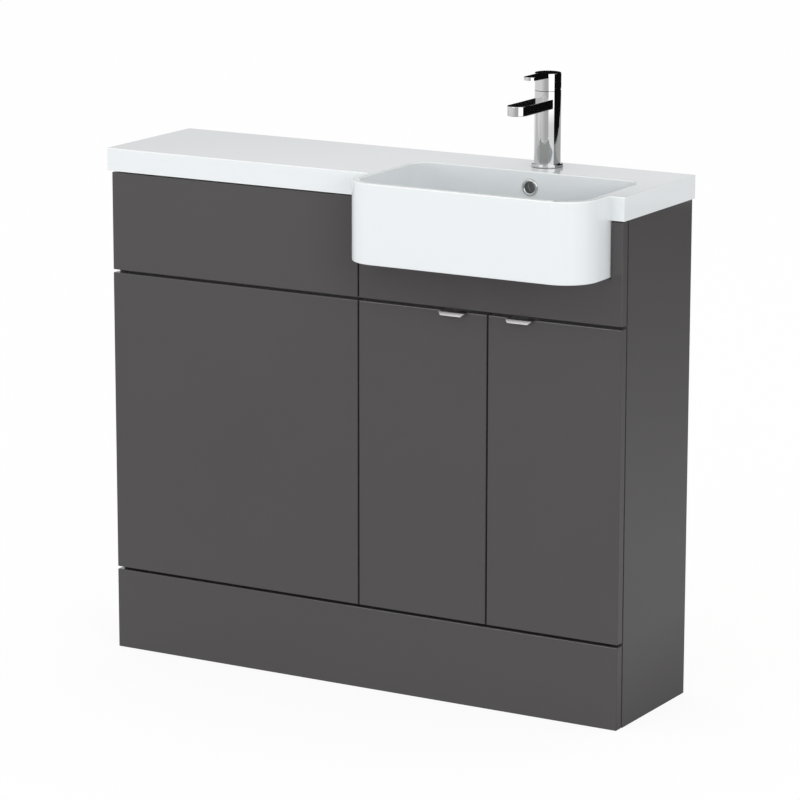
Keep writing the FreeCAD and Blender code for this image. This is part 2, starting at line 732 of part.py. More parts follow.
cap = cap.cut([post(cartridge_bore, tap_axis, lift_z - overrun, lift_z + tap_cap_height / 2), relief])
handle = cap.fuse(lever).removeSplitter()
handle = handle.makeFillet(lever_round, edges_at(handle, cap_top_z))
handle = handle.cut(box(spindle_low.x, spindle_high.x, spindle_low.y, spindle_high.y, lift_z, spindle_top_z))
add("tap_handle", handle)

# Tap fixing under the top: clamp gasket, horseshoe washer, stud and nut
clamp_radius = tap_pocket_radius - clamp_inset
horseshoe_top_z = pocket_z - clamp_gasket_height
horseshoe_z = horseshoe_top_z - horseshoe_height
mouth_half = inlet_spacing / 2 + inlet_radius + inlet_margin
mouth = rounded_box(basin_x - mouth_half, basin_x + mouth_half, inlet_y - 2 * clamp_radius,
                    inlet_y + inlet_radius + inlet_margin, horseshoe_z - overrun, pocket_z + overrun,
                    clamp_corner, clamp_corner)
stud = post(stud_radius, stud_axis, horseshoe_z - stud_tail, inlet_top_z)
add("tap_clamp_gasket", post(clamp_radius, tap_axis, horseshoe_top_z, pocket_z).cut([mouth, stud]))
add("tap_horseshoe", post(clamp_radius, tap_axis, horseshoe_z, horseshoe_top_z).cut([mouth, stud]))
add("tap_stud", stud)
hex_flats = 6
stud_nut = nut_blank(hex_flats, stud_nut_radius, stud_axis, horseshoe_z - stud_nut_height, stud_nut_height)
add("tap_nut", stud_nut.cut(stud))


# Doors with their pulls and concealed hinges
def door(name, edge_x, free_x, inward, side, side_x):
    """One door; `edge_x` is its hinged edge and `inward` points from there to its free edge."""

    def at(across, back, z):
        return Vector(edge_x + inward * across, front_y + back, z)

    def bar(across0, across1, back0, back1, z0, z1):
        x0, x1 = sorted((edge_x + inward * across0, edge_x + inward * across1))
        return box(x0, x1, front_y + back0, front_y + back1, z0, z1)

    low_x, high_x = sorted((edge_x, free_x))
    leaf = soft_panel(low_x, high_x, front_y, front_back_y, lower_z, lower_top_z)

    # Edge pull: a folded strip let into the top edge, with its lip splayed out in front
    pull_x = free_x - inward * pull_inset
    pull_low_x = pull_x - pull_length / 2
    pull_high_x = pull_x + pull_length / 2
    pull_seat = lower_top_z - pull_recess
    pull_top = pull_seat + pull_sheet
    lip_z = pull_top - pull_lip
    fold_y = front_y - touch_clearance
    lip_y = fold_y - pull_splay
    pull = prism([Vector(pull_low_x, front_back_y, pull_top),
                  Vector(pull_low_x, fold_y - pull_sheet, pull_top),
                  Vector(pull_low_x, lip_y - pull_sheet, lip_z),
                  Vector(pull_low_x, lip_y, lip_z),
                  Vector(pull_low_x, fold_y, pull_seat),
                  Vector(pull_low_x, front_back_y, pull_seat)], Vector(pull_length, 0, 0))
    for end_x, turn in ((pull_low_x, 1.0), (pull_high_x, -1.0)):
        foot = Vector(end_x, lip_y - pull_splay - pull_sheet, lip_z)
        pull = pull.cut(prism([foot, foot + Vector(turn * pull_chamfer, 0, 0), foot + up * pull_chamfer],
                              deep * (2 * pull_splay + pull_sheet)))
    leaf = leaf.cut(box(pull_low_x - touch_clearance, pull_high_x + touch_clearance, front_y - overrun,
                        front_back_y + overrun, pull_seat, lower_top_z + overrun))
    for x in (pull_x - pull_length / 4, pull_x + pull_length / 4):
        head = Vector(x, (front_y + front_back_y) / 2, pull_top)
        cone = Part.makeCone(screw_radius, screw_head_radius, pull_sheet, head - up * pull_sheet, up)
        pull_screw = rod(screw_radius, head, head - up * pull_screw_length).fuse(cone).removeSplitter()
        pull = pull.cut(pull_screw)
        leaf = leaf.cut(pull_screw)
        add(name + "_pull_screws", pull_screw)
    add(name + "_pull", pull)

    # Hinges: a drawn cup in the door, a pin, and a cranked arm on a plate on the side panel
    cup_in = cup_edge + cup_radius + cup_clearance
    cup_floor = front_board - cup_depth
    cup_face = front_board + cup_flange
    cup_inner = cup_radius - cup_wall
    ear_out = ear_spacing / 2 + ear_sheet
    side_in = abs(side_x - edge_x)
    web_in = hinge_axis_in + cup_inner + arm_sheet
    leg_back = cup_floor + cup_skin + arm_rise
    plate_back = front_board + seat_gap + plate_setback
    channel_start = plate_back - channel_front
    channel_end = plate_back + channel_back
    for z in (lower_z + hinge_inset, lower_top_z - hinge_inset):
        drill(name, rod(cup_radius + cup_clearance, at(cup_in, cup_floor, z),
                        at(cup_in, front_board + overrun, z)))
        wing = bar(cup_in - cup_flange_lead, cup_in + cup_radius - cup_flange_lead, front_board, cup_face,
                   z - cup_flange_length / 2, z + cup_flange_length / 2)
        wing = wing.makeFillet(cup_flange_round, [edge for edge in wing.Edges
                                                  if edge.BoundBox.YLength > cup_flange - near])
        cup = rod(cup_radius, at(cup_in, cup_floor, z), at(cup_in, cup_face, z)).fuse(wing)
        cup = cup.cut(rod(cup_inner, at(cup_in, cup_floor + cup_skin, z), at(cup_in, cup_face + overrun, z)))
        for low in (-ear_out, ear_spacing / 2):
            cup = cup.fuse(bar(hinge_axis_in - ear_half_width, hinge_axis_in + ear_half_width,
                               cup_floor + cup_skin / 2, hinge_axis_back + ear_rise,
                               z + low, z + low + ear_sheet))
        pin = rod(hinge_pin_radius, at(hinge_axis_in, hinge_axis_back, z - ear_out),
                  at(hinge_axis_in, hinge_axis_back, z + ear_out))
        cup = cup.cut(pin)
        screw_in = cup_in + cup_screw_offset
        for screw_z in (z - cup_screw_spacing / 2, z + cup_screw_spacing / 2):
            cup_screw = screw(at(screw_in, cup_face, screw_z), at(screw_in, cup_screw_skin, screw_z))
            cup = cup.cut(cup_screw)
            add(name + "_cup_screws", cup_screw)
            drill(name, cup_screw)
        add(name + "_hinge_cups", cup.removeSplitter())
        add(name + "_hinge_pins", pin)

        arm_low = z - arm_half_width
        arm_high = z + arm_half_width
        channel_low = z - channel_half_width
        channel_high = z + channel_half_width
        arm = rod(knuckle_radius, at(hinge_axis_in, hinge_axis_back, arm_low),
                  at(hinge_axis_in, hinge_axis_back, arm_high))
        arm = arm.fuse([
            bar(hinge_axis_in, web_in, leg_back, leg_back + arm_sheet, arm_low, arm_high),
            bar(web_in - arm_sheet, web_in, leg_back, channel_start + channel_lap, arm_low, arm_high),
            bar(web_in - channel_sheet, web_in, channel_start, channel_end, channel_low, channel_high),
            bar(side_in + channel_clearance, web_in, channel_start, channel_end,
                channel_low, channel_low + channel_sheet),
            bar(side_in + channel_clearance, web_in, channel_start, channel_end,
                channel_high - channel_sheet, channel_high)])
        arm = arm.cut(rod(hinge_pin_radius + running_clearance,
                          at(hinge_axis_in, hinge_axis_back, arm_low - overrun),
                          at(hinge_axis_in, hinge_axis_back, arm_high + overrun)))
        add("hinge_arms", arm.removeSplitter())
        wing_half = plate_hole_spacing / 2 + plate_wing
        plate_face = side_in + plate_thickness
        plate = bar(side_in, plate_face, plate_back - plate_half_depth, plate_back + plate_half_depth,
                    z - wing_half, z + wing_half)
        plate = plate.fuse(bar(side_in, web_in - channel_sheet, plate_back - plate_rail_front,
                               plate_back + plate_rail_back, z - plate_rail_half, z + plate_rail_half))
        for screw_z in (z - plate_hole_spacing / 2, z + plate_hole_spacing / 2):
            plate_screw = screw(at(plate_face, plate_back, screw_z),
                                at(side_in - plate_screw_bite, plate_back, screw_z))
            plate = plate.cut(plate_screw)
            add("hinge_screws", plate_screw)
            drill(side, plate_screw)
        add("hinge_plates", plate.removeSplitter())
    add(name, leaf)


door("left_door", vanity_edge, split_left, 1.0, "vanity_left_side", vanity_left_x)
door("right_door", half_width, split_right, -1.0, "vanity_right_side", vanity_right_x)

# Drill the boards and write one file for each node
os.makedirs("parts", exist_ok=True)
for node, solids in parts.items():
    if node in drillings:
        solids = [solid.cut(drillings[node]) for solid in solids]
    shape = solids[0] if len(solids) == 1 else Part.makeCompound(solids)
    shape.exportStep("parts/" + node + ".step")
    print(node, len(shape.Solids), shape.isValid(), round(shape.Volume))
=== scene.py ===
"""Combination vanity unit: finishes, small fittings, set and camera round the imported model."""
import math

import bpy
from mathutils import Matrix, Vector


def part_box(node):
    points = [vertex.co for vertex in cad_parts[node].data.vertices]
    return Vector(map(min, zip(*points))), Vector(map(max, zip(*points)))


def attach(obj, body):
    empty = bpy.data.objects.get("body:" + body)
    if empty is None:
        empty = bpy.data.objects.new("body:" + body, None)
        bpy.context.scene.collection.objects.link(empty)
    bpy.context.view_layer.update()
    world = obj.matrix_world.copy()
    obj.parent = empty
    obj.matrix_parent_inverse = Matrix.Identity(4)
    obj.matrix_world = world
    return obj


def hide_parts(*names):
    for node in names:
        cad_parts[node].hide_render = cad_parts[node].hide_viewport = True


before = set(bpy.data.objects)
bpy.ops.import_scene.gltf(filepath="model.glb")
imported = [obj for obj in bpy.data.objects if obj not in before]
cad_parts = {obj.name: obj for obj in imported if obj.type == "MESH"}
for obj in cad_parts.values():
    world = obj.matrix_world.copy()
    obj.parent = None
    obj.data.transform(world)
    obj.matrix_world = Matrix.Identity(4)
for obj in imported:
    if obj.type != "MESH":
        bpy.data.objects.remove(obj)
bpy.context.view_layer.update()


# Inner boards
# The two inner sides, the rails, the cupboard floor and the shelf are chipboard with a white melamine skin.
# What faces the gaps between the fronts is banded in their grey; most other cut edges are raw, brown chips.


class Value:
    """One value in a node tree; arithmetic on it adds Math nodes."""

    def __init__(self, tree, socket):
        self.tree = tree
        self.socket = socket

    def math(self, operation, first, second):
        return node(self.tree, "Math", {"operation": operation}, {0: first, 1: second})

    def __add__(self, other):
        return self.math("ADD", self, other)

    def __sub__(self, other):
        return self.math("SUBTRACT", self, other)

    def __rsub__(self, other):
        return self.math("SUBTRACT", other, self)

    def __mul__(self, other):
        return self.math("MULTIPLY", self, other)

    def __gt__(self, other):
        return self.math("GREATER_THAN", self, other)

    def __lt__(self, other):
        return self.math("LESS_THAN", self, other)

    def __or__(self, other):
        return self.math("MAXIMUM", self, other)

    __rmul__ = __mul__


def feed(tree, target, inputs):
    for name, value in inputs.items():
        if isinstance(value, Value):
            tree.links.new(value.socket, target.inputs[name])
        else:
            target.inputs[name].default_value = value


def node(tree, kind, settings, inputs, output=0):
    """Add one node: its settings first, then its inputs; returns the output that is asked for."""
    added = tree.nodes.new("ShaderNode" + kind)
    for name, setting in settings.items():
        setattr(added, name, setting)
    feed(tree, added, inputs)
    return Value(tree, added.outputs[output])


no_stretch = (1.0, 1.0, 1.0)


class Finish:
    """One material: its Principled shader, and the nodes that feed it."""

    def __init__(self, name, constants):
        self.material = bpy.data.materials.new(name)
        self.material.use_nodes = True
        self.tree = self.material.node_tree
        self.shader = self.tree.nodes["Principled BSDF"]
        self.place = node(self.tree, "TexCoord", {}, {}, "Object")
        self.set(constants)

    def set(self, inputs):
        feed(self.tree, self.shader, inputs)

    def along(self, axis):
        return node(self.tree, "SeparateXYZ", {}, {0: self.place}, axis)

    def facing(self, axis):
        """How far the surface faces along one axis of the piece, from -1 to 1."""
        normal = node(self.tree, "TexCoord", {}, {}, "Normal")
        return node(self.tree, "SeparateXYZ", {}, {0: normal}, axis)

    def noise(self, size, stretch=no_stretch):
        """Soft noise in lumps about `size` metres across, drawn out where `stretch` is above 1."""
        scale = [1.0 / (size * factor) for factor in stretch]
        place = node(self.tree, "Mapping", {}, {"Vector": self.place, "Scale": scale})
        return node(self.tree, "TexNoise", {}, {"Vector": place, "Scale": 1.0, "Detail": 2.0})

    def flakes(self, size, low, high):
        """Flat cells about `size` metres across, each in its own shade between two colours."""
        scale = (1.0 / size, 1.0 / size, 1.0 / size)
        place = node(self.tree, "Mapping", {}, {"Vector": self.place, "Scale": scale})
        cell = node(self.tree, "TexVoronoi", {}, {"Vector": place, "Scale": 1.0}, "Color")
        return self.mix(node(self.tree, "SeparateXYZ", {}, {0: cell}, "X"), low, high)

    def mix(self, mask, low, high):
        return node(self.tree, "Mix", {"data_type": "RGBA"}, {0: mask, 6: low, 7: high}, 2)

    def relief(self, height, depth):
        """Bump the surface by `height`, whose full range is `depth` metres."""
        bump = node(self.tree, "Bump", {}, {"Height": height, "Strength": 1.0, "Distance": depth})
        self.set({"Normal": bump})

    def dress(self, *names):
        for name in names:
            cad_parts[name].material_slots[0].material = self.material


def paint(red, green, blue):
    """The linear colour of screen values from 0 to 255."""
    shares = [value / 255.0 for value in (red, green, blue)]
    linear = [share / 12.92 if share <= 0.04045 else ((share + 0.055) / 1.055) ** 2.4 for share in shares]
    return (*linear, 1.0)


square_limit = 0.9


def square_to(finish, faces):
    """A mask that is 1 on flat faces that look along the given axes; -1 stands for an axis reversed."""
    mask = 0.0
    for axis, side in faces:
        mask = (finish.facing(axis) * side > square_limit) + mask
    return mask


melamine_white = paint(226, 226, 223)
melamine_shade = paint(232, 232, 229)
chip_dark = paint(126, 96, 64)
chip_pale = paint(208, 180, 140)
chip_size = 0.0022
chip_grain = 0.0012
foil_grey = paint(75, 73, 74)


def melamine(name, raw_faces, banded_faces):
    """Chipboard in a white skin, with some faces banded in grey and some left raw."""
    cloud_size = 0.15
    skin_grain = 0.0009
    grain_roughness = 0.1
    raw_roughness = 0.4
    skin_roughness = 0.36
    raw_relief = 6.0
    skin_relief = 0.00003
    finish = Finish(name, {})
    raw = square_to(finish, raw_faces)
    skin = finish.mix(finish.noise(cloud_size), melamine_white, melamine_shade)
    banded_skin = finish.mix(square_to(finish, banded_faces), skin, foil_grey)
    finish.set({
        "Base Color": finish.mix(raw, banded_skin, finish.flakes(chip_size, chip_dark, chip_pale)),
        "Roughness": finish.noise(skin_grain) * grain_roughness + raw * raw_roughness + skin_roughness,
    })
    finish.relief(finish.noise(chip_grain) * (raw * raw_relief + 1.0), skin_relief)
    return finish


front_face = (("Y", -1.0),)
rear_face = (("Y", 1.0),)
bottom_face = (("Z", -1.0),)
top_face = (("Z", 1.0),)
end_faces = (("X", 1.0), ("X", -1.0))
side_board = melamine("melamine_side", rear_face + bottom_face + top_face, front_face)
side_board.dress("wc_right_side", "vanity_left_side")
upright_board = melamine("melamine_upright_rail", bottom_face + end_faces, front_face)
upright_board.dress("wc_wall_rail", "wc_middle_rail", "wc_bottom_rail")
upright_board.dress("vanity_front_rail", "vanity_wall_rail")
flat_board = melamine("melamine_flat_board", rear_face + end_faces, front_face)
flat_board.dress("wc_front_rail", "vanity_base")
shelf_board = melamine("melamine_shelf", rear_face + end_faces, ())
shelf_board.dress("shelf")


# Back panel
# A thin fibreboard sheet behind the cupboard, with the service hole sawn in it.
# Its inner face is printed white; the back and the sawn edges are bare brown fibre.
fibre_size = 0.0016
fibre_stretch = (1.0, 1.0, 5.0)
fibre_dark = paint(118, 88, 60)
fibre_pale = paint(152, 118, 82)
fibre_grain = 0.002
fibre_fuzz = 0.0014
fibre_roughness = 0.72
grain_spread = 0.12
print_gloss = 0.3
print_smoothing = 0.8
fibre_relief = 0.00008
back_sheet = Finish("back_sheet", {})
printed = square_to(back_sheet, front_face)
fibre = back_sheet.mix(back_sheet.noise(fibre_size, fibre_stretch), fibre_dark, fibre_pale)
back_sheet.set({
    "Base Color": back_sheet.mix(printed, fibre, paint(222, 222, 219)),
    "Roughness": back_sheet.noise(fibre_grain) * grain_spread + fibre_roughness - printed * print_gloss,
})
back_sheet.relief(back_sheet.noise(fibre_fuzz) * (1.0 - printed * print_smoothing), fibre_relief)
back_sheet.dress("vanity_back_panel")


# Cam locks, cam bolts, bay connectors and shelf pins
# The cams are die-cast zinc with a dull skin; the bolts, sleeves and pins are steel, zinc plated.
# The cams draw the rails to the sides, and the sleeves clamp one bay to the other.


def metal(name, colour, shade, roughness, grain, stretch=no_stretch):
    """Bare or plated metal with faint clouds in its colour and streaks or specks in its gloss."""
    cloud_size = 0.012
    gloss_spread = 0.16
    relief_share = 0.02
    finish = Finish(name, {"Metallic": 1.0})
    speck = finish.noise(grain, stretch)
    finish.set({
        "Base Color": finish.mix(finish.noise(cloud_size), colour, shade),
        "Roughness": speck * gloss_spread + (roughness - gloss_spread / 2.0),
    })
    finish.relief(speck, grain * relief_share)
    return finish


die_cast = metal("die_cast_zinc", paint(140, 142, 145), paint(152, 154, 156), roughness=0.46, grain=0.0006)
die_cast.dress("cam_locks")
zinc_plate = metal("zinc_plate", paint(178, 179, 182), paint(190, 188, 182), roughness=0.3, grain=0.0008)
zinc_plate.dress("cam_bolts", "bay_connectors", "shelf_pins")


# End panels and fronts
# The ends, the doors, the fascia, the plinth and the toilet bay's two panels are board in gloss grey foil.
# The foil wraps all edges of the fronts. Inside faces are white; the ends are raw behind, above and below.
foil_shade = paint(77, 75, 76)


def foil(name, white_mask, raw_faces):
    """Board in gloss foil that is white where `white_mask` says so and raw on the given faces."""
    cloud_size = 0.2
    ripple_size = 0.03
    ripple_roughness = 0.03
    white_roughness = 0.25
    raw_roughness = 0.6
    gloss_roughness = 0.07
    foil_peel = 0.004
    raw_relief = 20.0
    foil_relief = 0.000003
    finish = Finish(name, {})
    white = white_mask(finish)
    raw = square_to(finish, raw_faces)
    grey = finish.mix(finish.noise(cloud_size), foil_grey, foil_shade)
    faced = finish.mix(white, grey, melamine_white)
    ripple = finish.noise(ripple_size) * ripple_roughness
    finish.set({
        "Base Color": finish.mix(raw, faced, finish.flakes(chip_size, chip_dark, chip_pale)),
        "Roughness": ripple + white * white_roughness + raw * raw_roughness + gloss_roughness,
    })
    finish.relief(finish.noise(foil_peel) + raw * finish.noise(chip_grain) * raw_relief, foil_relief)
    return finish


def behind(finish):
    return square_to(finish, rear_face)


def towards_middle(finish):
    """1 on the large faces of the ends that look at the middle of the unit."""
    inner_limit = -0.2
    return finish.along("X") * finish.facing("X") < inner_limit


front_foil = foil("gloss_front", behind, ())
front_foil.dress("access_panel", "wc_lower_panel", "vanity_fascia", "left_door", "right_door", "plinth")
end_foil = foil("gloss_end", towards_middle, rear_face + bottom_face + top_face)
end_foil.dress("wc_left_side", "vanity_right_side")


# Corner blocks, their screws, and the access panel's push studs
# White moulded plastic with the fine spark grain of the mould; zinc-plated screws with a cross recess.
# Blocks are screwed to the sides and the fronts; studs on the access panel push into sockets in the sides.


def moulded(name, colour, shade, roughness):
    cloud_size = 0.02
    spark_grain = 0.0005
    grain_roughness = 0.14
    grain_relief = 0.00002
    finish = Finish(name, {})
    grain = finish.noise(spark_grain)
    finish.set({
        "Base Color": finish.mix(finish.noise(cloud_size), colour, shade),
        "Roughness": grain * grain_roughness + roughness,
    })
    finish.relief(grain, grain_relief)
    return finish


white_moulding = moulded("white_moulding", paint(228, 228, 222), paint(234, 234, 229), roughness=0.34)
white_moulding.dress("panel_blocks", "access_panel_studs", "access_panel_sockets", "waste_nut")


def solids(name):
    """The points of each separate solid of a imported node, told apart by the points that faces share."""
    point_digits = 6
    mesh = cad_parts[name].data
    places = [tuple(round(value, point_digits) for value in vertex.co) for vertex in mesh.vertices]
    groups = []
    for face in mesh.polygons:
        points = {places[index] for index in face.vertices}
        touching = [group for group in groups if group & points]
        groups = [group for group in groups if not group & points] + [points.union(*touching)]
    return groups


def corners(points):
    """The lowest and the highest corner of the box round some points."""
    spans = list(zip(*points))
    return Vector([min(span) for span in spans]), Vector([max(span) for span in spans])


def screw_seats(name, above_seat):
    """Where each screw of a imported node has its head's seat, and which way that head looks."""
    seats = []
    for points in solids(name):
        low, high = corners(points)
        middle = (low + high) / 2.0
        axis = max(range(3), key=lambda index: high[index] - low[index])
        across = [index for index in range(3) if index != axis]
        from_axis = {}
        for point in points:
            from_axis[point] = math.hypot(*[point[index] - middle[index] for index in across])
        rim = max(from_axis, key=from_axis.get)
        outward = Vector((0.0, 0.0, 0.0))
        outward[axis] = math.copysign(1.0, rim[axis] - middle[axis])
        length = high[axis] - low[axis]
        seats.append((middle + outward * (length / 2.0 - above_seat), outward))
    return seats


def select(piece, kind, wanted):
    """Leave the piece in edit mode with only the faces or edges selected for which `wanted` is true."""
    bpy.ops.object.mode_set(mode="EDIT")
    bpy.ops.mesh.select_mode(type=kind)
    bpy.ops.mesh.select_all(action="DESELECT")
    bpy.ops.object.mode_set(mode="OBJECT")
    for item in piece.data.polygons if kind == "FACE" else piece.data.edges:
        item.select = wanted(item)
    bpy.ops.object.mode_set(mode="EDIT")


def looks_up(face):
    return face.normal.z > square_limit


def looks_down(face):
    return face.normal.z < -square_limit


def apply_modifier(piece, kind, settings):
    modifier = piece.modifiers.new(kind.lower(), kind)
    for name, value in settings.items():
        setattr(modifier, name, value)
    bpy.context.view_layer.objects.active = piece
    bpy.ops.object.modifier_apply(modifier=modifier.name)


def thread(root, crest, pitch, low, high, steps):
    """The ridge of a screw thread round the Z axis: a triangle that is swept round and up."""
    triangle_height = 1.5
    depth = crest - root
    turns = int((high - low) / pitch) - 1
    bpy.ops.object.select_all(action="DESELECT")
    bpy.ops.mesh.primitive_circle_add(vertices=3, radius=1.0,
                                      location=(root + depth / 3.0, 0.0, low + pitch / 2.0),
                                      rotation=(math.radians(-90.0), math.radians(-90.0), 0.0))
    ridge = bpy.context.object
    ridge.scale = (pitch / 2.0, depth / triangle_height, 1.0)
    bpy.ops.object.transform_apply(location=True, rotation=True, scale=True)
    apply_modifier(ridge, "SCREW", {
        "axis": "Z", "angle": math.tau, "screw_offset": pitch, "iterations": turns,
        "steps": steps, "render_steps": steps,
    })
    bpy.ops.object.mode_set(mode="EDIT")
    bpy.ops.mesh.select_all(action="SELECT")
    bpy.ops.mesh.fill_holes(sides=0)
    bpy.ops.mesh.normals_make_consistent(inside=False)
    bpy.ops.object.mode_set(mode="OBJECT")
    return ridge


def join(name, parts, finish):
    """Make several meshes one piece in one finish, at the origin, smooth but for its sharp edges."""
    sharp_angle = math.radians(35.0)
    bpy.ops.object.select_all(action="DESELECT")
    for part in parts:
        part.select_set(True)
    bpy.context.view_layer.objects.active = parts[0]
    if len(parts) > 1:
        bpy.ops.object.join()
    bpy.ops.object.transform_apply(location=True, rotation=True, scale=True)
    piece = bpy.context.object
    piece.name = name
    piece.data.materials.clear()
    piece.data.materials.append(finish.material)
    bpy.ops.object.shade_smooth_by_angle(angle=sharp_angle)
    return piece


head_radius = 0.0035
head_height = 0.0014


def cross_screw(length, countersunk):
    """A cross-head screw with its head's seat at the origin, its head up and its shank down."""
    core = 0.00128
    root = 0.0012
    crest = 0.0017
    pitch = 0.0013
    thread_end = 0.0018
    tip = 0.003
    tip_radius = 0.0002
    sunk_depth = 0.0015
    sunk_rim = 0.0002
    pan_rim = 0.0009
    slot_width = 0.0008
    slot_length = 0.0036
    slot_height = 0.0022
    slot_taper = 0.5
    bpy.ops.object.select_all(action="DESELECT")
    if countersunk:
        head_top = 0.0
        rim = sunk_rim
        bpy.ops.mesh.primitive_cone_add(vertices=32, radius1=crest, radius2=head_radius, depth=sunk_depth,
                                        location=(0.0, 0.0, -sunk_depth / 2.0))
    else:
        head_top = head_height
        rim = pan_rim
        bpy.ops.mesh.primitive_cylinder_add(vertices=32, radius=head_radius, depth=head_height,
                                            location=(0.0, 0.0, head_height / 2.0))
    head = bpy.context.object
    bpy.ops.object.transform_apply(location=True)
    select(head, "FACE", looks_up)
    bpy.ops.mesh.bevel(offset=rim, segments=4, affect="EDGES")
    bpy.ops.object.mode_set(mode="OBJECT")
    for size in ((slot_width, slot_length, slot_height), (slot_length, slot_width, slot_height)):
        bpy.ops.object.select_all(action="DESELECT")
        bpy.ops.mesh.primitive_cube_add(size=1.0, location=(0.0, 0.0, head_top))
        blade = bpy.context.object
        blade.scale = size
        bpy.ops.object.transform_apply(location=True, scale=True)
        select(blade, "FACE", looks_down)
        bpy.ops.transform.resize(value=(slot_taper, slot_taper, 1.0), center_override=(0.0, 0.0, head_top))
        bpy.ops.object.mode_set(mode="OBJECT")
        apply_modifier(head, "BOOLEAN", {"operation": "DIFFERENCE", "object": blade})
        bpy.data.objects.remove(blade)
    bpy.ops.object.select_all(action="DESELECT")
    bpy.ops.mesh.primitive_cone_add(vertices=16, radius1=tip_radius, radius2=core, depth=tip,
                                    location=(0.0, 0.0, tip / 2.0 - length))
    shank = bpy.context.object
    bpy.ops.object.transform_apply(location=True)
    select(shank, "FACE", looks_up)
    bpy.ops.mesh.extrude_region_move(TRANSFORM_OT_translate={"value": (0.0, 0.0, length - tip)})
    bpy.ops.object.mode_set(mode="OBJECT")
    ridge = thread(root, crest, pitch, tip - length, -thread_end, steps=12)
    return join("screw_pattern", [head, shank, ridge], zinc_plate)


def set_screws(name, length, countersunk, seats, body, stands_for):
    """One screw, copied to each seat with its head along the given direction, as one piece."""
    pattern = cross_screw(length, countersunk)
    copies = []
    for seat, outward in seats:
        copy = pattern.copy()
        copy.data = pattern.data.copy()
        bpy.context.collection.objects.link(copy)
        copy.location = seat
        copy.rotation_euler = outward.to_track_quat("Z", "Y").to_euler()
        copies.append(copy)
    bpy.data.objects.remove(pattern)
    screws = join(name, copies, zinc_plate)
    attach(screws, body)
    if stands_for:
        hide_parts(*stands_for)


block_screw_length = 0.02
set_screws("block_cross_screws", block_screw_length, False, screw_seats("block_screws", head_height),
           "cabinet", ["block_screws"])


# Door bumpers
# Clear soft domes that are stuck to the front edges of the cupboard floor and rail, where the doors close.
# Slightly cloudy polyurethane.
bumper_cloud = 0.0015
bumper_spread = 0.2
bumper_roughness = 0.12
bumper_gel = Finish("bumper_gel", {"Transmission Weight": 0.8, "IOR": 1.45})
cloud = bumper_gel.noise(bumper_cloud)
bumper_gel.set({
    "Base Color": bumper_gel.mix(cloud, paint(226, 226, 221), paint(240, 240, 236)),
    "Roughness": cloud * bumper_spread + bumper_roughness,
})
bumper_gel.dress("door_bumpers")


# Cast basin top
# Worktop and bowl are one casting of mineral and resin in a white gel coat, bright on top and in the bowl.
# The rolled top edges are painted near white, a painted highlight; the underside is as it leaves the mould,
# duller and a little uneven.
gel_cloud = 0.25
gel_ripple = 0.05
ripple_spread = 0.03
gel_roughness = 0.08
underside_roughness = 0.4
gel_peel = 0.006
underside_relief = 12.0
gel_relief = 0.000005
rolled_reach = 0.0021
steep_slope = 0.2
level_slope = 0.97
rolled_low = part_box("basin_top")[1].z - rolled_reach
gel_coat = Finish("gel_coat", {"Specular IOR Level": 0.3})
underside = square_to(gel_coat, bottom_face + rear_face)
gel_white = gel_coat.mix(gel_coat.noise(gel_cloud), paint(231, 235, 237), paint(233, 237, 239))
slope = gel_coat.facing("Z")
# Painted highlight: the rounded edges along the top are painted near white.
painted_edge_highlight = (slope > steep_slope) * (slope < level_slope) * (gel_coat.along("Z") > rolled_low)
gel_top = gel_coat.mix(painted_edge_highlight, gel_white, paint(251, 252, 252))
ripple = gel_coat.noise(gel_ripple) * ripple_spread
gel_coat.set({
    "Base Color": gel_coat.mix(underside, gel_top, paint(226, 226, 222)),
    "Roughness": ripple + underside * underside_roughness + gel_roughness,
})
gel_coat.relief(gel_coat.noise(gel_peel) * (underside * underside_relief + 1.0), gel_relief)
gel_coat.dress("basin_top")


# Overflow ring, waste and press plug
# Turned brass with bright chrome plate; the ring is pushed into the overflow hole.
# A white back nut, on a black rubber seal under the casting, draws the waste down; its tail is threaded.
chrome_smear = 0.02
smear_stretch = (1.0, 1.0, 2.5)
smear_spread = 0.03
chrome_roughness = 0.03
bright_chrome = Finish("bright_chrome", {"Metallic": 1.0})
film = bright_chrome.noise(chrome_smear, smear_stretch)
bright_chrome.set({
    "Base Color": bright_chrome.mix(film, paint(198, 198, 197), paint(202, 203, 203)),
    "Roughness": film * smear_spread + chrome_roughness,
})
bright_chrome.dress("overflow_ring", "waste_body", "waste_plug")

tail_root = 0.0207
tail_crest = 0.02135
tail_pitch = 0.0023
tail_lead = 0.0015
tail_runout = 0.0035
nut_low, nut_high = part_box("waste_nut")
waste_middle = (nut_low + nut_high) / 2.0
tail_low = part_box("waste_body")[0].z + tail_lead
tail_high = nut_low.z - tail_runout
tail_ridge = thread(tail_root, tail_crest, tail_pitch, tail_low, tail_high, steps=64)
tail_ridge.location = (waste_middle.x, waste_middle.y, 0.0)
tail_thread = join("waste_tail_thread", [tail_ridge], bright_chrome)
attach(tail_thread, "cabinet")

seal_rubber = moulded("seal_rubber", paint(26, 26, 27), paint(33, 33, 34), roughness=0.6)
seal_rubber.dress("waste_seal", "tap_gasket", "tap_clamp_gasket")


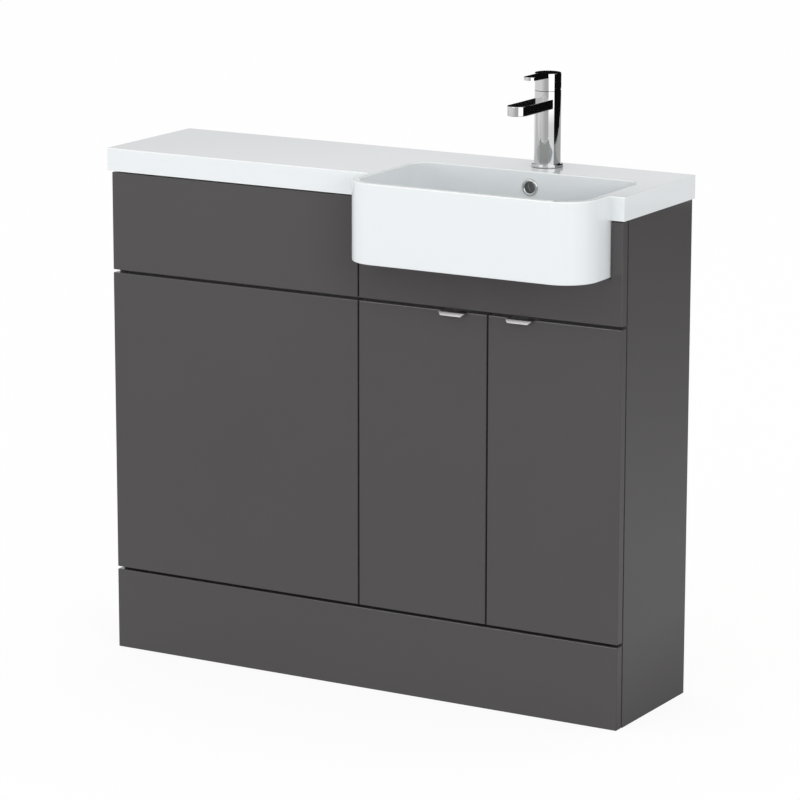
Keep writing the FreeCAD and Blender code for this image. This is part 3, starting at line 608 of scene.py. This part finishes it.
# Mixer tap
# Cast brass body, spout, cap and lever in chrome; under the cap a brass ring nut holds a ceramic cartridge.
# A threaded stud, a horseshoe washer and a nut clamp it to the top from below.
bright_chrome.dress("tap_body", "tap_handle", "tap_base_ring")
turned_brass = metal("turned_brass", paint(196, 160, 92), paint(206, 172, 104), roughness=0.3, grain=0.0007,
                     stretch=(6.0, 6.0, 1.0))
turned_brass.dress("tap_nut", "tap_cartridge_nut")
cartridge_resin = moulded("cartridge_resin", paint(204, 204, 199), paint(212, 212, 207), roughness=0.4)
cartridge_resin.dress("tap_cartridge", "tap_carriage")
plain_steel = metal("plain_steel", paint(160, 160, 160), paint(170, 170, 168), roughness=0.34, grain=0.0006,
                    stretch=(1.0, 1.0, 8.0))
plain_steel.dress("tap_spindle")
aerator_resin = moulded("aerator_resin", paint(190, 193, 195), paint(198, 201, 203), roughness=0.3)
aerator_resin.dress("tap_aerator")
zinc_plate.dress("tap_horseshoe")

stud_core_radius = 0.0035
stud_root = 0.0034
stud_crest = 0.00395
stud_pitch = 0.00125
stud_chamfer = 0.0008
stud_lead = 0.001
ring_low, ring_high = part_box("tap_base_ring")
tap_middle = (ring_low + ring_high) / 2.0
stud_low, stud_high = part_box("tap_stud")
stud_middle = (stud_low + stud_high) / 2.0
bpy.ops.object.select_all(action="DESELECT")
bpy.ops.mesh.primitive_cylinder_add(vertices=32, radius=stud_core_radius, depth=stud_high.z - stud_low.z,
                                    location=(0.0, 0.0, stud_middle.z))
stud_core = bpy.context.object
bpy.ops.object.transform_apply(location=True)
select(stud_core, "FACE", lambda face: looks_up(face) or looks_down(face))
bpy.ops.mesh.bevel(offset=stud_chamfer, segments=2, affect="EDGES")
bpy.ops.object.mode_set(mode="OBJECT")
stud_ridge = thread(stud_root, stud_crest, stud_pitch, stud_low.z + stud_lead, stud_high.z - stud_lead,
                    steps=24)
for part in (stud_core, stud_ridge):
    part.location = (tap_middle.x, stud_middle.y, 0.0)
threaded_stud = join("threaded_tap_stud", [stud_core, stud_ridge], zinc_plate)
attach(threaded_stud, "cabinet")
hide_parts("tap_stud")


# Concealed hinges
# Drawn steel cups, pins, cranked arms and plates, bright nickel plated; two to each door.
# The cups are sunk in the doors, the plates are screwed to the cupboard sides.
plate_screw_length = 0.014
arm_screw_length = 0.0045
arm_screw_insets = (0.01, 0.038)
cup_screw_length = 0.0122
doors = ("left_door", "right_door")
nickel = metal("nickel_plate", paint(176, 175, 170), paint(188, 186, 180), roughness=0.2, grain=0.0012)
nickel.dress("hinge_arms", "hinge_plates")
for door in doors:
    nickel.dress(door + "_hinge_cups", door + "_hinge_pins")
set_screws("plate_cross_screws", plate_screw_length, False, screw_seats("hinge_screws", head_height),
           "cabinet", ["hinge_screws"])
arm_seats = []
for points in solids("hinge_arms"):
    arm_low, arm_high = corners(points)
    on_left = arm_low.x < tap_middle.x
    web_x = arm_high.x if on_left else arm_low.x
    inward = Vector((1.0 if on_left else -1.0, 0.0, 0.0))
    for inset in arm_screw_insets:
        arm_seats.append((Vector((web_x, arm_high.y - inset, (arm_low.z + arm_high.z) / 2.0)), inward))
set_screws("arm_adjusting_screws", arm_screw_length, False, arm_seats, "cabinet", [])
for door in doors:
    set_screws(door + "_cup_cross_screws", cup_screw_length, False,
               screw_seats(door + "_cup_screws", head_height), door, [door + "_cup_screws"])


# Edge pulls
# Satin anodised aluminium strips, let into the top edges of the doors. They run out in front of the face,
# where a lip with tapered ends turns down and forward. Two countersunk screws hold each one.
pull_reach = 0.011
pull_drop = 0.0057
pull_splay = 0.0035
pull_taper = 0.0047
pull_thickness = 0.0026
pull_setdown = 0.0002
pull_round = 0.0004
pull_screw_length = 0.02
satin = metal("satin_anodised", paint(203, 201, 203), paint(208, 206, 208), roughness=0.28, grain=0.0004,
              stretch=(40.0, 1.0, 1.0))
door_low, door_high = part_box("left_door")
pull_low, pull_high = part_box("left_door_pull")
plate_top = door_high.z - pull_setdown
plate_front = door_low.y - pull_reach
pull_middle = Vector(((pull_low.x + pull_high.x) / 2.0, (plate_front + door_high.y) / 2.0, plate_top))
pull_length = pull_high.x - pull_low.x
lip_share = 1.0 - 2.0 * pull_taper / pull_length
bpy.ops.object.select_all(action="DESELECT")
bpy.ops.mesh.primitive_plane_add(size=1.0, location=pull_middle)
pattern = bpy.context.object
pattern.scale = (pull_length, door_high.y - plate_front, 1.0)
bpy.ops.object.transform_apply(location=True, scale=True)


def ahead_of_door(edge):
    return all(pattern.data.vertices[index].co.y < door_low.y for index in edge.vertices)


select(pattern, "EDGE", ahead_of_door)
bpy.ops.mesh.extrude_region_move(TRANSFORM_OT_translate={"value": (0.0, -pull_splay, -pull_drop)})
bpy.ops.transform.resize(value=(lip_share, 1.0, 1.0), center_override=pull_middle)
bpy.ops.object.mode_set(mode="OBJECT")
apply_modifier(pattern, "SOLIDIFY", {"thickness": pull_thickness, "offset": -1.0, "use_even_offset": True})
apply_modifier(pattern, "BEVEL", {"width": pull_round, "segments": 3})
for seat, _ in screw_seats("left_door_pull_screws", 0.0):
    bpy.ops.object.select_all(action="DESELECT")
    bpy.ops.mesh.primitive_cone_add(vertices=32, radius1=head_radius / 2.0,
                                    radius2=head_radius + pull_setdown, depth=pull_thickness,
                                    location=(seat.x, seat.y, plate_top - pull_thickness / 2.0))
    countersink = bpy.context.object
    apply_modifier(pattern, "BOOLEAN", {"operation": "DIFFERENCE", "object": countersink})
    bpy.data.objects.remove(countersink)
for door in doors:
    pull = pattern.copy()
    pull.data = pattern.data.copy()
    bpy.context.collection.objects.link(pull)
    pull.location.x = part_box(door + "_pull")[0].x - pull_low.x
    edge_pull = join(door + "_edge_pull", [pull], satin)
    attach(edge_pull, door)
    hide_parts(door + "_pull")
    pull_seats = [(Vector((seat.x, seat.y, plate_top)), outward)
                  for seat, outward in screw_seats(door + "_pull_screws", 0.0)]
    set_screws(door + "_pull_cross_screws", pull_screw_length, True, pull_seats, door,
               [door + "_pull_screws"])
bpy.data.objects.remove(pattern)


# Set: floor, light and camera
# A pale floor and a white surround, lit softly from the front. What gloss and polished metal mirror is set
# apart: there the floor has its own brightness, a painted reflection with painted shade in it, and four
# curved boards show, painted reflections that the camera never sees and that light no matt surface.
floor_size = 80.0
floor_glow = 0.885
floor_shown = paint(105, 105, 105)
floor_white = paint(249, 249, 249)
black = (0.0, 0.0, 0.0, 1.0)


def in_sight(tree):
    """1 for rays from the camera and for rays that polished metal, gloss and clear plastic send on."""
    seen = 0.0
    for ray in ("Is Camera Ray", "Is Glossy Ray", "Is Transmission Ray"):
        seen = node(tree, "LightPath", {}, {}, ray) | seen
    return seen


def ramp(finish, value, start, end, low, high):
    """A value that goes from `low` to `high` while another goes from `start` to `end`, and stays there."""
    return node(finish.tree, "MapRange", {}, {
        "Value": value, "From Min": start, "From Max": end, "To Min": low, "To Max": high,
    })


bpy.ops.object.select_all(action="DESELECT")
bpy.ops.mesh.primitive_plane_add(size=floor_size, location=(0.0, 0.0, 0.0))
floor = bpy.context.object
floor.name = "floor"
matt = {"Roughness": 1.0, "Specular IOR Level": 0.0, "Emission Strength": 1.0}
floor_paint = Finish("floor_paint", matt)
floor_seen = in_sight(floor_paint.tree)
mirrored = node(floor_paint.tree, "LightPath", {}, {}, "Is Glossy Ray")
floor_x = floor_paint.along("X")
floor_y = floor_paint.along("Y")
end_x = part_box("vanity_right_side")[1].x
# Painted reflection near the unit: a little brighter close to the fronts, and darker next to the end panel,
# a painted shadow on the floor that the end panel mirrors.
before_fronts = ramp(floor_paint, floor_y, start=-1.4, end=-0.3, low=0.5, high=0.57)
end_painted_shadow = ramp(floor_paint, floor_x, start=end_x, end=0.75, low=0.3, high=0.5)
near_mirrored = (floor_x < end_x) * before_fronts + (floor_x > end_x) * end_painted_shadow
# Painted shade for the fascia: a dim band of the floor far ahead, where the fascia mirrors it, darkens the
# fascia under the bowl, where the bowl casts shade.
sight_start = 3.08
sight_slope = 0.59
aside = floor_x - (floor_y + sight_start) * sight_slope
fascia_shade_left = ramp(floor_paint, aside, start=-1.95, end=-1.75, low=0.58, high=0.12)
fascia_shade_right = ramp(floor_paint, aside, start=-1.35, end=-0.9, low=0.0, high=0.2)
fascia_painted_shade = fascia_shade_left + fascia_shade_right
# Painted reflection for the tap: the floor that it mirrors grows brighter to the left.
tap_mirrored = ramp(floor_paint, floor_x, start=1.0, end=-4.0, low=0.63, high=1.02)
under_fascia = ramp(floor_paint, floor_y, start=-2.9, end=-3.2, low=0.0, high=1.0)
far_ahead = ramp(floor_paint, floor_y, start=-4.4, end=-5.4, low=0.0, high=1.0)
far_left = ramp(floor_paint, floor_x, start=-3.2, end=-4.5, low=0.0, high=1.0)
panel_mirrored = under_fascia * (fascia_painted_shade - near_mirrored) + near_mirrored
# The floor's painted reflection: the tap's map far ahead and far to the left, the fronts' map nearer in.
painted_floor_reflection = (far_ahead | far_left) * (tap_mirrored - panel_mirrored) + panel_mirrored
floor_base = floor_paint.mix(floor_seen, floor_white, floor_shown)
floor_paint.set({
    "Base Color": floor_paint.mix(mirrored, floor_base, black),
    "Emission Color": floor_seen * (mirrored * (painted_floor_reflection - floor_glow) + floor_glow),
})
floor.data.materials.append(floor_paint.material)

soft_level = 0.76
world = bpy.data.worlds.new("surround")
world.use_nodes = True
bpy.context.scene.world = world
surround = world.node_tree
feed(surround, surround.nodes["Background"], {
    "Color": (1.0, 1.0, 1.0, 1.0),
    "Strength": in_sight(surround) * (1.0 - soft_level) + soft_level,
})

card_x = 0.25
card_y = 0.13
card_radius = 1.2
card_facets = 144


def card(name, low_turn, high_turn, low_z, high_z, glow):
    """A curved board round the tap that only reflections see, a painted reflection; `glow` gives its
    brightness by height.
    """
    bpy.ops.object.select_all(action="DESELECT")
    bpy.ops.mesh.primitive_cylinder_add(vertices=card_facets, radius=card_radius, depth=high_z - low_z,
                                        end_fill_type="NOTHING",
                                        location=(card_x, card_y, (low_z + high_z) / 2.0))
    board = bpy.context.object
    board.name = name
    bpy.ops.object.transform_apply(location=True)

    def outside(face):
        turn = math.degrees(math.atan2(face.center.y - card_y, face.center.x - card_x))
        return not low_turn < turn < high_turn

    select(board, "FACE", outside)
    bpy.ops.mesh.delete(type="FACE")
    bpy.ops.object.mode_set(mode="OBJECT")
    finish = Finish(name + "_paint", {"Base Color": black, **matt})
    finish.set({"Emission Color": glow(finish)})
    board.data.materials.append(finish.material)
    board.visible_camera = False
    board.visible_diffuse = False
    board.visible_transmission = False
    board.visible_shadow = False


def fading(finish):
    """Painted reflection: grey at the foot and darker higher up, for the end panel; then a grey band and
    black, for the tap.
    """
    band_low = 0.68
    band_glow = 0.42
    black_low = 0.857
    black_slope = 0.068
    black_share = 0.99
    height = finish.along("Z")
    band = (height > band_low) * band_glow
    blackened = finish.along("X") * black_slope + height > black_low
    foot = ramp(finish, height, start=0.05, end=0.66, low=0.48, high=0.15)
    return (foot + band) * (1.0 - blackened * black_share)


def stepped(finish):
    """Painted reflection: pale where the worktop mirrors the board, and black higher up, where the spout
    and the lever do.
    """
    height = finish.along("Z")
    pale = ramp(finish, height, start=1.02, end=1.1, low=0.78, high=0.94)
    return pale * ramp(finish, height, start=1.16, end=1.18, low=1.0, high=0.005)


def shining(finish):
    """Painted highlight, seen in the tap: very bright from a little below the worktop upwards, and about
    half as bright lower down.
    """
    return ramp(finish, finish.along("Z"), start=0.8, end=0.84, low=1.1, high=2.0)


# Near black: a painted dark reflection in the tap.
def unlit(finish):
    return (0.005, 0.005, 0.005, 1.0)


# Four painted reflections, seen only in gloss and metal; they light nothing and cast no shadow.
card("dark_board", low_turn=-4.0, high_turn=117.0, low_z=0.02, high_z=0.91, glow=fading)
card("side_board", low_turn=-4.0, high_turn=90.0, low_z=0.91, high_z=2.3, glow=unlit)
card("back_board", low_turn=90.0, high_turn=166.0, low_z=0.91, high_z=2.3, glow=stepped)
card("bright_board", low_turn=-55.0, high_turn=-6.0, low_z=0.5, high_z=2.2, glow=shining)

lamp_width = 3.0
lamp_height = 1.4
lamp_target = 0.6


def soft_lamp(name, place, power):
    """A wide soft box that looks at the middle of the unit."""
    bpy.ops.object.light_add(type="AREA", location=place)
    lamp = bpy.context.object
    lamp.name = name
    lamp.data.shape = "RECTANGLE"
    lamp.data.size = lamp_width
    lamp.data.size_y = lamp_height
    lamp.data.energy = power
    lamp.rotation_euler = (math.atan2(math.hypot(place[0], place[1]), place[2] - lamp_target), 0.0,
                           math.atan2(place[0], -place[1]))


soft_lamp("left_lamp", place=(-1.8, -6.0, 1.1), power=74.0)
soft_lamp("right_lamp", place=(4.9, -4.1, 2.2), power=64.0)

camera_place = (3.29287, -5.61009, 1.96153)
camera_turn = (77.294, -0.0715, 30.1385)
bpy.ops.object.camera_add(location=camera_place)
camera = bpy.context.object
camera.name = "camera"
camera.rotation_euler = [math.radians(turn) for turn in camera_turn]
camera.data.sensor_width = 36.0
camera.data.lens = 174.4
bpy.context.scene.camera = camera
bpy.context.scene.view_settings.view_transform = "Standard"
